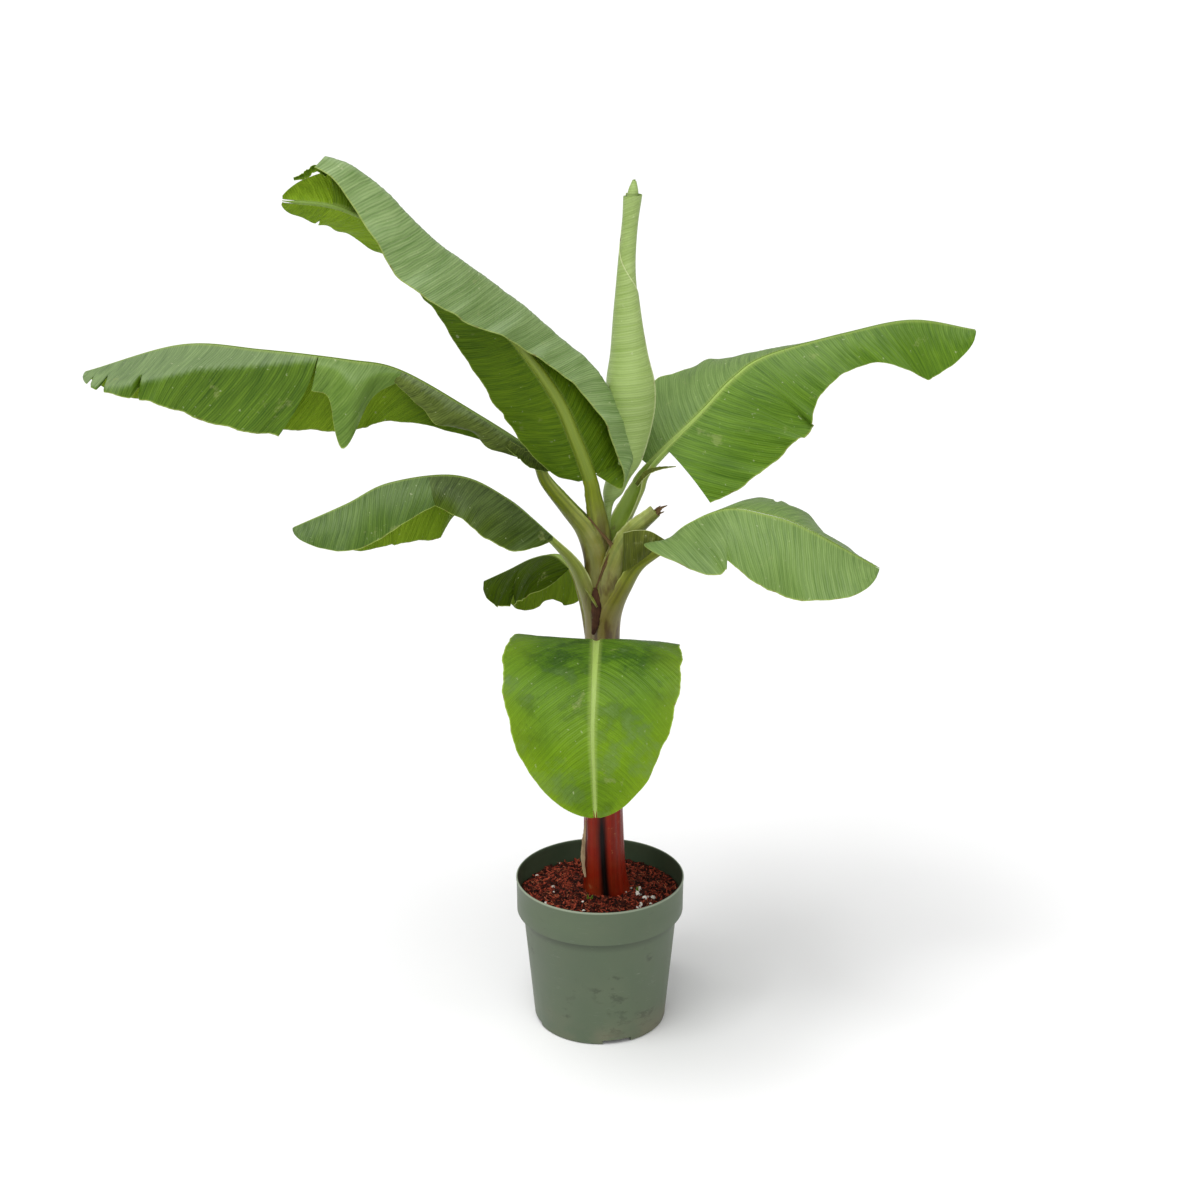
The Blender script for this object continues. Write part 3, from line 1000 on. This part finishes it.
# place and radius, from the foot up
STEM_AXIS = [(8, 0, 196, 34), (7, 0, 240, 31), (5, 0, 330, 28), (3, 0, 450, 26), (2, 0, 560, 22),
             (2, 0, 640, 15), (4, 2, 700, 8)]
SEAM_DEPTH = 7.5
FOOT_SWELLING = 5.0
# where the other sheaths' edges run: direction, how it leans with height, step in radius
SHEATH_EDGES = ((1.1, 0.0016, 1.6), (2.4, -0.0012, 1.4), (-2.5, 0.001, 1.0))


def stem_column(rows=240, around=144):
    samples, _ = curve_points(STEM_AXIS, rows)
    angle = np.linspace(0, 2 * np.pi, around, endpoint=False)
    a, level = np.meshgrid(angle, samples[:, 2])
    radius = np.repeat(samples[:, 3:4], around, 1)

    def turn_from(direction):
        return (a - direction + np.pi) % (2 * np.pi) - np.pi

    near = turn_from(np.radians(-90) + 0.05 + 0.16 * np.sin(level / 70))
    open_seam = np.clip((430 - level) / 120, 0, 1) * 0.75 + 0.25
    seam = np.exp(-(near / (0.17 + 0.15 * open_seam)) ** 2) * open_seam
    radius -= SEAM_DEPTH * seam
    radius += 1.3 * smooth_step(near / 0.3) * (near > 0)          # the right sheath laps over
    for direction, slope, step in SHEATH_EDGES:
        off = turn_from(direction + slope * (level - 330))
        radius += step * np.where(off > 0, np.exp(-off / 0.5), 0)
    radius += FOOT_SWELLING * np.exp(-((level - 205) / 26) ** 2) * (0.5 + 0.5 * np.cos(a))
    radius += 0.5 * np.sin(a * 9 + level / 60) + 0.35 * np.sin(a * 17 - level / 45)
    points = np.stack([samples[:, 0:1] + radius * np.cos(a),
                       samples[:, 1:2] + radius * np.sin(a), level], -1)
    faces = [tuple(f) for f in grid_faces(rows, around, wrap=True)]
    faces += [tuple(range(around))[::-1], tuple(range(rows * around, (rows + 1) * around))]
    uv = np.stack([np.abs(turn_from(0.3)) / np.pi, level * MM], -1).reshape(-1, 2)
    attributes = dict(seam=np.clip(seam * 1.5 - 0.35, 0, 1).ravel())
    return mesh_piece("pseudostem_skin", points.reshape(-1, 3) * MM, faces, uv, [stem_skin()],
                      None, attributes, 70)


stem = hand_over(stem_column(), "pseudostem", "pseudostem")
print("stem faces:", len(stem.data.polygons))

# %% [markdown]
# ## The rolled leaf
# The youngest leaf comes up wound on itself like a cone of paper. It is a thin
# sheet wrapped a little more than once round an axis. The outer edge climbs
# round the tube in a long slant, and the tip of the roll stands out of the top.

# %% Rolled leaf
rolled_skin = leaf_skin("rolled_leaf_skin", (176, 197, 128), (142, 168, 84), 0.12, 0.4, 0.3,
                        lip=(206, 216, 160), relief=0.3)
# place and radius of the roll
SPEAR = [(6, 8, 690, 5), (9, 10, 760, 5.5), (12, 10, 812, 6.5), (19, 8, 833, 15), (27, 8, 855, 18),
         (40, 8, 885, 23), (45, 5, 945, 33), (43, 3, 990, 36), (40, 2, 1035, 27), (37, 0, 1090, 19.5),
         (36.5, 0, 1150, 13), (40, 0, 1205, 11.2), (44, 0, 1252, 13.4)]
# height, and the direction in degrees in which the outer edge lies there
SPEAR_EDGE = [(700, -40), (900, -30), (1000, -20), (1080, -10), (1116, 0), (1182, -178), (1252, -230)]
SPEAR_TIP = [(42, 0, 1190, 7), (43.5, 0, 1235, 8.2), (45, 0, 1256, 7.2), (46.5, 0, 1271, 2.4)]
ROLL_TURNS = 1.22
TIGHTENING = 0.12        # share of its radius that the roll loses on its way in


def rolled_sheet():
    samples, _ = curve_points(SPEAR, 260)
    z = samples[:, 2:3]
    turns = np.linspace(0, FULL_TURN * ROLL_TURNS, 90)[None]
    share = turns / turns[0, -1]
    a = np.radians(np.interp(z, *zip(*SPEAR_EDGE))) - turns
    r = samples[:, 3:4] * (1 - TIGHTENING * share ** 0.8)
    # the top edge dips a little towards the inner turn
    level = z - np.clip((z - 1200) / 52, 0, 1) * 4 * share
    grid = np.stack([samples[:, 0:1] + r * np.cos(a), samples[:, 1:2] + r * np.sin(a), level], -1)
    uv = np.stack([np.broadcast_to(1 - share * 0.96, a.shape), z * MM + 0.004 * turns], -1)
    return grid, uv


def rolled_tip_sheet(columns=40):
    samples, _ = curve_points(SPEAR_TIP, 30)
    share = np.arange(columns + 1)[None] / columns
    a = share * FULL_TURN * 1.1 + 1
    r = samples[:, 3:4] * (1 - TIGHTENING * share)
    grid = np.stack([samples[:, 0:1] + r * np.cos(a), samples[:, 1:2] + r * np.sin(a),
                     samples[:, 2:3] - 2.5 * share], -1)
    uv = np.stack(np.meshgrid(np.linspace(0.1, 0.9, columns + 1), samples[:, 2] * MM), -1)
    return grid, uv


grid, uv = rolled_sheet()
rolled = sheet_piece("rolled_leaf_sheet", grid, 1.0, 1, uv, rolled_skin, "rolled_leaf", "rolled_leaf")
grid, uv = rolled_tip_sheet()
rolled_tip = sheet_piece("rolled_leaf_tip", grid, 0.9, -1, uv, rolled_skin, "rolled_leaf")
print("rolled leaf faces:", len(rolled.data.polygons) + len(rolled_tip.data.polygons))

# %% [markdown]
# ## The cut stalk
# One old leaf was cut off. Its stalk is the same gutter as the others, but it
# ends in a flattened, torn mouth with dry dark fibres standing out of it.

# %% Cut stalk
STUB = [(3, 0, 480, 20.5, 160), (4, -2, 580, 20, 158), (7, -5, 640, 19.3, 150), (12, -12, 695, 20, 142),
        (21, -17, 732, 18.6, 132), (33, -21, 764, 17, 124), (50, -26, 791, 14.5, 120), (78, -30, 816, 10, 126)]
samples, _ = curve_points(STUB, 150)
points, radius, z = samples[:, :3], samples[:, 3], samples[:, 2]
_, normal, side = frames_along(points, up=(-0.7, 0.7, 0.2), start=40)
stub = gutter("cut_stalk_skin", points, normal, side, radius, np.radians(samples[:, 4]),
              depth=radius * 0.9, wrap=1 - smooth_step((z - 720) / 60),
              wall=np.minimum(2.6, radius * 0.25), low=1 - smooth_step((z - 700) / 90) * 0.6,
              material=stalk_pale, lumps=0.03, seed=77)
hand_over(stub, "cut_stalk", "cut_stalk")


# %% Dry tissue
def dry_skin(name, deep, light):
    skin = Skin(name, 0.75, 0.2)
    tone, height = skin.group(fibres, skin.map(), across=20.0, length=12.0)
    skin.colour = skin.mix(skin.spread(tone, 0.35, 0.7), rgb(*deep), rgb(*light))
    blotch, scar, speck = skin.group(blotches, skin.coordinates, size=60.0, speck_size=500.0)
    skin.layer(blotch, (88, 58, 34), 0.5)
    skin.layer(speck, light, 0.4)
    skin.bump(height, 0.7, 0.001)
    return skin.finish()


dry_brown = dry_skin("dry_brown_tissue", (44, 30, 18), (128, 104, 64))
dry_pale = dry_skin("pale_dry_sheath_edge", (120, 92, 60), (206, 186, 150))
deep_brown = dry_skin("deep_brown_hollow", (20, 8, 5), (62, 32, 20))


def strip(name, path, widths, facing, material, seed=3, curl=0.6, columns=7, rows=26,
          slot="cut_stalk"):
    """A narrow thin strip along a path, a little curled across."""
    samples, length = curve_points([(*p, w) for p, w in zip(path, widths)], rows)
    _, normal, side = frames_along(samples[:, :3], up=facing)
    rng = np.random.default_rng(seed)
    rel = np.linspace(-1, 1, columns)[None]
    w = samples[:, 3:4] / 2 * (1 + 0.12 * rng.standard_normal((rows + 1, 1)))
    grid = (samples[:, None, :3] + (w * rel)[..., None] * side[:, None]
            + (curl * w * (rel ** 2 - 0.4))[..., None] * normal[:, None])
    uv = np.stack(np.meshgrid(np.linspace(0, 1, columns), np.linspace(0, length * MM, rows + 1)), -1)
    return sheet_piece(name, grid, 0.7, 1, uv, material, slot)


MOUTH = (72, -31, 808)
rng = np.random.default_rng(5)
for i in range(9):
    turn = rng.uniform(0, 6.28)
    base = MOUTH + np.array([5 * math.cos(turn), 6 * math.sin(turn), 6 * math.sin(turn + 1)])
    lean = np.array([13 + rng.uniform(-3, 5), rng.uniform(-5, 4), 13 + rng.uniform(-7, 6)])
    strip(f"frayed_fibre_{i + 1}", [base, base + 0.5 * lean + (0, 0, 1), base + lean], [4.4, 3.2, 0.8],
          (0, -1, 0.3), dry_brown, seed=i, columns=4, rows=12)
print("cut stalk and frayed fibres made")

# %% [markdown]
# ## Torn margins and scraps
# A living plant is untidy. Torn sheath margins hang in the crown, with a dark
# hollow behind them. Small folds of blade stand where four of the leaves
# begin or end, a papery scrap clings low on the stem and a thin dry stalk is
# caught in the open seam.

# %% Scraps
strip("dry_pointed_flap", [(52, -6, 846), (66, -8, 864), (84, -8, 871), (107, -8, 874)],
      [9, 8, 5, 1.0], (0.1, -0.6, 1), olive_fold, seed=8, curl=0.7, slot="stalk")
strip("crown_torn_margin", [(-17, -27, 806), (0, -29, 785), (14, -28, 768), (19, -29, 757),
                            (8, -30, 738), (-6, -27, 700)],
      [1.4, 3.0, 5.2, 7.0, 4.6, 1.8], (0, -1, 0), dry_brown, seed=11, slot="stalk")
strip("crown_pale_margin", [(-21, -27, 700), (-12, -28, 686), (-4, -29, 672)],
      [2.2, 3.6, 2.4], (0, -1, 0), stalk_pale, seed=12, slot="stalk")
strip("crown_dark_hollow", [(-7, -24.5, 700), (-5, -26.5, 684), (-4, -27.5, 668), (-6, -28.5, 648),
                            (-10, -28.5, 630)],
      [5, 14, 16, 10, 4], (0, -1, 0), deep_brown, seed=13, curl=-0.5, slot="stalk")
strip("left_leaf_wing", [(-60, -36, 886), (-76, -43, 882), (-98, -50, 893), (-128, -54, 917)],
      [2, 15, 20, 12], (0.2, -1, 0.6), grey_upper, seed=16, curl=0.7, slot="leaf", columns=11)


def folded_wing(rows=40, columns=16):
    """The blade's lowest part, folded up against the stalk of the right-hand middle leaf."""
    upper, _ = curve_points([(33, -45, 788), (50, -53, 794), (70, -55, 793), (93, -51, 778)], rows)
    lower, _ = curve_points([(32, -41, 728), (45, -46, 738), (62, -49, 752), (91, -50, 774)], rows)
    across = np.linspace(0, 1, columns + 1)[None, :, None]
    grid = lower[:, None] * (1 - across) + upper[:, None] * across
    bulge = np.sin(np.pi * np.linspace(0.1, 0.9, rows + 1))[:, None]
    grid[..., 1] -= 7 * np.sin(np.pi * across[..., 0]) * bulge
    uv = np.stack(np.meshgrid(np.linspace(0.05, 1, columns + 1), np.linspace(0, 0.07, rows + 1)), -1)
    return grid, uv


grid, uv = folded_wing()
sheet_piece("right_leaf_folded_wing", grid, 0.8, -1, uv, olive_fold, "leaf")
strip("seam_stalk", [(14, -26, 212), (12, -24.5, 250), (10, -23.5, 290)],
      [3.0, 3.6, 2.2], (0, -1, 0), dry_brown, seed=14, curl=-0.7, slot="pseudostem")
strip("low_dry_scrap", [(-21, -12, 330), (-24, -12, 295), (-25, -13, 262), (-22, -16, 238)],
      [2.0, 6.0, 7.0, 3.0], (-0.6, -0.8, 0), dry_pale, seed=15, curl=0.5, slot="pseudostem")
strip("tall_leaf_tip_shred", [(-338, -216, 1303), (-352, -216, 1309), (-366, -216, 1300),
                              (-380, -216, 1296)],
      [9, 8, 7, 3], (0, -1, 0.3), dull_under, seed=21, curl=0.8, slot="leaf")
print("scraps made")

# %% [markdown]
# ## The pot
# A nursery pot is thin moulded polypropylene: a tapered wall, a deep collar
# band that stiffens the top, a rounded lip and slots at the foot for water. It
# is turned from its wall section, and the slots are cut with a Boolean, as the
# mould's side cores would form them.

# %% Pot plastic
def pot_plastic(name, light, deep):
    """Dull green plastic: scuffs and smears, a damp inside, a pale lip, dust at the foot."""
    skin = Skin(name, 0.5, 0.4)
    body = skin.coordinates
    x, y, z = skin.axes(body)
    soft, fine = skin.noise(body, 9.0, 3), skin.noise(body, 900.0, 2)
    skin.colour = skin.mix(soft, rgb(*deep), rgb(*light))
    scratch = skin.noise(skin.stretched(body, 60.0, 60.0, 900.0), 1.0, 3, 0.7)
    scuffs = skin.times(skin.spread(scratch, 0.62, 0.72), skin.spread(skin.noise(body, 22.0), 0.5, 0.62))
    skin.layer(scuffs, (150, 158, 142), 0.3)
    smear = skin.noise(skin.stretched(body, 26.0, 26.0, 48.0), 1.0, 4, 0.75)
    smears = skin.times(skin.spread(smear, 0.53, 0.6), skin.spread(skin.noise(body, 15.0), 0.53, 0.6))
    skin.layer(smears, (44, 52, 38), 0.55)
    squares = skin.calc("ADD", skin.calc("POWER", x, 2.0), skin.calc("POWER", y, 2.0))
    reach = skin.calc("SQRT", squares)
    inside = skin.times(skin.spread(reach, 0.1243, 0.1248, 1.0, 0.0), skin.spread(z, 0.196, 0.2))
    skin.layer(inside, (34, 52, 30), 0.7)
    lip = skin.times(skin.spread(z, 0.2318, 0.2335), skin.spread(reach, 0.1252, 0.1256))
    skin.layer(lip, (172, 182, 160), 0.5)
    under_collar = skin.times(skin.spread(z, 0.1768, 0.1815, 1.0, 0.0),
                              skin.spread(z, 0.163, 0.1755, 0.0, 1.0))
    skin.layer(under_collar, (38, 46, 34), 0.55)
    blotch, scar, speck = skin.group(blotches, body, size=16.0, speck_size=380.0)
    skin.layer(skin.spread(z, 0.0, 0.05, 0.5, 0.05), (124, 112, 92), blotch)
    skin.layer(speck, (70, 62, 50), 0.25)
    skin.bump(skin.calc("MULTIPLY_ADD", soft, 2.0, skin.times(fine, 0.35)), 0.25, 0.0006)
    return skin.finish(skin.spread(soft, 0.3, 0.7, 0.42, 0.56))


# radius and height, from the middle of the floor's top over the rim to the middle of its underside
POT_WALL_SECTION = [
    (0, 3.5), (94.6, 3.5), (96.2, 5), (97.5, 10), (113.6, 176.6), (114.6, 178.6), (122.5, 183.2),
    (123.4, 185), (124.0, 230), (124.4, 233.6), (125.0, 234.8), (126.2, 235), (127, 234), (127, 232),
    (126.7, 231), (126.4, 230), (126.1, 205), (126.0, 182.2), (125.2, 180.6), (117.4, 177.0),
    (116.3, 175.4), (100.3, 4.5), (99.4, 1.6), (97.2, 0.2), (95, 0), (84, 0), (82.8, 0.9), (0, 0.9)]
SLOT_MIDDLE = 97         # radius at which a slot's cutter stands
SLOT_HALF = (15, 22, 7.5)            # half sizes of the cutter's box
SLOT_TURN = 15           # degrees from straight in front


def turned(name, section, sides, material, angle=35):
    """A body turned round the upright axis from a section that starts and ends on it."""
    inner = section[1:-1]
    ring = np.linspace(0, 2 * np.pi, sides, endpoint=False)
    points = [(r * math.cos(a), r * math.sin(a), z) for r, z in inner for a in ring]
    faces = [tuple(f[::-1]) for f in grid_faces(len(inner) - 1, sides, wrap=True)]
    top, foot = len(points), len(points) + 1
    points += [(0, 0, section[0][1]), (0, 0, section[-1][1])]
    last = (len(inner) - 1) * sides
    for i in range(sides):
        j = (i + 1) % sides
        faces.append((top, i, j))
        faces.append((foot, last + j, last + i))
    return mesh_piece(name, np.array(points) * MM, faces, None, [material], angle=angle)


def slot_cutter(degrees):
    """A box across the pot's wall at its foot."""
    angle = math.radians(degrees)
    half_x, half_y, half_z = SLOT_HALF
    corners = []
    for sx, sy, sz in ((a, b, c) for a in (-1, 1) for b in (-1, 1) for c in (-1, 1)):
        x, y = SLOT_MIDDLE + sx * half_x, sy * half_y
        corners.append(((x * math.cos(angle) - y * math.sin(angle)) * MM,
                        (x * math.sin(angle) + y * math.cos(angle)) * MM, sz * half_z * MM))
    box = bpy.data.meshes.new("slot_cutter")
    box.from_pydata(corners, [], [(0, 1, 3, 2), (4, 6, 7, 5), (0, 4, 5, 1), (2, 3, 7, 6),
                                  (0, 2, 6, 4), (1, 5, 7, 3)])
    cutter = bpy.data.objects.new("slot_cutter", box)
    scene.collection.objects.link(cutter)
    return cutter


def settled(piece):
    """Turn a piece's modifiers into plain mesh and drop them."""
    view = bpy.context.evaluated_depsgraph_get()
    mesh = bpy.data.meshes.new_from_object(piece.evaluated_get(view), depsgraph=view)
    piece.modifiers.clear()
    old, piece.data = piece.data, mesh
    mesh.name = old.name + "_done"
    bpy.data.meshes.remove(old)
    return piece


pot_green = pot_plastic("green_moulded_plastic", (88, 102, 78), (74, 88, 66))
pot = turned("pot_skin", POT_WALL_SECTION, 180, pot_green)
cutters = [slot_cutter(-90 + SLOT_TURN + 90 * i) for i in range(4)]
for cutter in cutters:
    cut = pot.modifiers.new("slot", "BOOLEAN")
    cut.operation, cut.object, cut.solver = "DIFFERENCE", cutter, "EXACT"
settled(pot)
for cutter in cutters:
    bpy.data.objects.remove(cutter)
hand_over(pot, "pot", "pot")
print("pot faces:", len(pot.data.polygons))

# %% [markdown]
# ## The potting mix
# The mix is chopped coir with grains of white perlite. The bed is a lumpy disc.
# Thousands of loose bits lie on it, which is what Geometry Nodes are for: points
# are scattered over the bed, each gets a small shape with its own turn and
# size, and the result becomes one plain mesh for each kind of bit.

# %% Bed
def mix_skin(name, light, deep, roughness=0.9):
    skin = Skin(name, roughness, 0.15)
    grain = skin.noise(skin.coordinates, 190.0, 5, 0.7)
    lump = skin.noise(skin.coordinates, 70.0, 3)
    skin.colour = skin.mix(skin.spread(grain, 0.42, 0.6), rgb(*deep), rgb(*light))
    skin.layer(skin.spread(lump, 0.4, 0.65, 0.0, 0.5), deep)
    skin.bump(grain, 0.8, 0.0016)
    return skin.finish()


bed_brown = mix_skin("dark_coir_bed", (92, 36, 22), (26, 10, 6))
chip_brown = mix_skin("coir_chips", (186, 86, 60), (92, 28, 18))
chip_dark = mix_skin("dark_coir_chips", (70, 26, 16), (22, 8, 5))
fibre_tan = mix_skin("coir_fibres", (206, 130, 92), (130, 60, 38))
perlite_white = mix_skin("perlite", (244, 242, 234), (206, 200, 188), 0.8)

BED_RADIUS = 122.6
BED_LEVEL = 209
BED_FOOT_RADIUS = 114.4
BED_SKIRT = 30.0


def bed_mesh(rings=62, sides=150):
    """A lumpy disc, highest round the stem, with a skirt down the pot's wall."""
    rng = np.random.default_rng(9)
    radii = np.linspace(0, BED_RADIUS, rings + 1)
    a, r = np.meshgrid(np.linspace(0, 2 * np.pi, sides, endpoint=False), radii[1:])
    x, y = r * np.cos(a), r * np.sin(a)
    z = BED_LEVEL - 7 * (r / BED_RADIUS) ** 2
    for size, amount in ((47, 1.6), (21, 1.2), (11, 0.9), (6, 0.6)):
        for _ in range(4):
            way = rng.uniform(0, 2 * np.pi)
            turns = 2 * np.pi * (x * np.cos(way) + y * np.sin(way)) / size + rng.uniform(0, 6.3)
            z = z + amount * 0.5 * np.sin(turns)
    z += 5.0 * np.exp(-((np.hypot(x - 8, y) - 36) / 16) ** 2)
    low = BED_LEVEL - BED_SKIRT
    points = [(0, 0, BED_LEVEL)] + list(zip(x.ravel(), y.ravel(), z.ravel()))
    points += [(BED_FOOT_RADIUS * math.cos(t), BED_FOOT_RADIUS * math.sin(t), low) for t in a[0]]
    points += [(0, 0, low)]
    faces = [(0, 1 + i, 1 + (i + 1) % sides) for i in range(sides)]
    faces += [tuple(f[::-1]) for f in grid_faces(rings - 1, sides, 1, wrap=True)]
    outer, skirt = 1 + (rings - 1) * sides, 1 + rings * sides
    for i in range(sides):
        j = (i + 1) % sides
        faces.append((outer + i, skirt + i, skirt + j, outer + j))
        faces.append((skirt + sides, skirt + j, skirt + i))
    return mesh_piece("potting_mix_bed", np.array(points) * MM, faces, None, [bed_brown], angle=60)


bed = hand_over(bed_mesh(), "soil", "soil")
print("bed faces:", len(bed.data.polygons))


# %% Loose bits with Geometry Nodes
LEVEL_ENOUGH = 0.4       # least upward part of the bed's normal
CLEAR_OF_WALL = 0.1195   # metres from the pot's axis
CRUMPLE = 0.16
BIT_SIZES = (0.45, 1.35)


def scatter_tree():
    """Scatter a small shape over the bed's top: count, sizes and seed are named inputs."""
    bits = Graph(bpy.data.node_groups.new("loose_bits", "GeometryNodeTree"))
    face = bits.tree.interface
    face.new_socket("Geometry", in_out="INPUT", socket_type="NodeSocketGeometry")
    for label, value in (("Density", 50000.0), ("Length", 0.004), ("Flatness", 0.4), ("Slimness", 0.6),
                         ("Lean", 0.5), ("Lift", 0.001), ("Centre X", 0.0), ("Centre Y", 0.0),
                         ("Reach", 0.2)):
        socket = face.new_socket(label, in_out="INPUT", socket_type="NodeSocketFloat")
        socket.default_value = value
    face.new_socket("Seed", in_out="INPUT", socket_type="NodeSocketInt").default_value = 1
    face.new_socket("Skin", in_out="INPUT", socket_type="NodeSocketMaterial")
    face.new_socket("Geometry", in_out="OUTPUT", socket_type="NodeSocketGeometry")
    given = bits.add("NodeGroupInput").outputs
    seed = {"Seed": given["Seed"]}

    def distance(x, y):
        return bits.calc("SQRT", bits.calc("ADD", bits.times(x, x), bits.times(y, y)))

    # bits lie near the chosen centre, on the level top and clear of the pot's wall
    x, y, _ = bits.axes(bits.add("GeometryNodeInputPosition").outputs[0])
    steepness = bits.axes(bits.add("GeometryNodeInputNormal").outputs[0])[2]
    near = bits.calc("LESS_THAN", distance(bits.calc("SUBTRACT", x, given["Centre X"]),
                                           bits.calc("SUBTRACT", y, given["Centre Y"])), given["Reach"])
    level = bits.calc("GREATER_THAN", steepness, LEVEL_ENOUGH)
    clear = bits.calc("LESS_THAN", distance(x, y), CLEAR_OF_WALL)
    allowed = bits.times(bits.times(near, level), clear)
    points = bits.add("GeometryNodeDistributePointsOnFaces", inputs={
        "Mesh": given["Geometry"], "Density": given["Density"], "Selection": allowed, **seed})

    # the shape of a bit is a small crumpled ball, stretched for each point
    ball = bits.add("GeometryNodeMeshIcoSphere", inputs={"Radius": 0.5, "Subdivisions": 1})
    rough = bits.add("FunctionNodeRandomValue", ((-CRUMPLE,) * 3, (CRUMPLE,) * 3),
                     data_type="FLOAT_VECTOR")
    crumpled = bits.add("GeometryNodeSetPosition", inputs={
        "Geometry": ball.outputs["Mesh"], "Offset": rough.outputs[0]})
    lean = given["Lean"]
    other_way = bits.times(lean, -1.0)
    turn = bits.add("FunctionNodeRandomValue", (bits.joined(other_way, other_way),
                                                bits.joined(lean, lean, 6.283)),
                    seed, data_type="FLOAT_VECTOR")
    size = bits.add("FunctionNodeRandomValue", (None, None, *BIT_SIZES), seed, data_type="FLOAT")
    long = bits.times(size.outputs[1], given["Length"])
    shape = bits.joined(long, bits.times(long, given["Slimness"]), bits.times(long, given["Flatness"]))
    laid = bits.add("GeometryNodeInstanceOnPoints", inputs={
        "Points": points.outputs["Points"], "Instance": crumpled.outputs[0],
        "Rotation": turn.outputs[0], "Scale": shape})
    lifted = bits.add("GeometryNodeTranslateInstances", inputs={
        "Instances": laid.outputs[0], "Translation": bits.joined(z=given["Lift"])})
    real = bits.add("GeometryNodeRealizeInstances", (lifted.outputs[0],))
    painted = bits.add("GeometryNodeSetMaterial", inputs={
        "Geometry": real.outputs[0], "Material": given["Skin"]})
    bits.add("NodeGroupOutput", (painted.outputs[0],))
    return bits.tree


loose_bits = scatter_tree()


def scatter(name, material, **values):
    """One kind of loose bit as a plain mesh."""
    piece = bpy.data.objects.new(name, bed.data.copy())
    scene.collection.objects.link(piece)
    maker = piece.modifiers.new("loose_bits", "NODES")
    maker.node_group = loose_bits
    sockets = {s.name: s.identifier for s in loose_bits.interface.items_tree if s.in_out == "INPUT"}
    for key, value in values.items():
        maker[sockets[key.replace("_", " ").title()]] = value
    maker[sockets["Skin"]] = material
    settled(piece)
    hand_over(piece, "soil")
    print(name, len(piece.data.polygons), "faces")


scatter("coir_chip_bits", chip_brown, density=40000.0, length=0.0104, flatness=0.2, slimness=0.22,
        lean=0.9, lift=0.0018, seed=3)
scatter("dark_chip_bits", chip_dark, density=15000.0, length=0.0108, flatness=0.3, slimness=0.4,
        lean=0.8, lift=0.0004, seed=4)
scatter("coir_fibre_bits", fibre_tan, density=9000.0, length=0.0135, flatness=0.07, slimness=0.08,
        lean=0.5, lift=0.0014, seed=5)
scatter("perlite_bits", perlite_white, density=1900.0, length=0.0082, flatness=0.8, slimness=0.85,
        lean=1.0, lift=0.0026, centre_x=0.082, centre_y=-0.018, reach=0.045, seed=6)
scatter("perlite_spread_bits", perlite_white, density=170.0, length=0.0062, flatness=0.8,
        slimness=0.85, lean=1.0, lift=0.0012, seed=7)

# %% Seedlings
for i, (x, y, lean) in enumerate(((-17, -36, -2), (-14, -38, 3), (55, -10, 3), (58, -12, -3))):
    strip(f"seedling_{i + 1}", [(x, y, 206), (x + lean * 0.4, y, 213), (x + lean, y - 1, 220)],
          [1.8, 3.2, 0.7], (0, -1, 0.2), fresh_upper, seed=30 + i, columns=4, rows=10, slot="stalk")

# %% Sizes
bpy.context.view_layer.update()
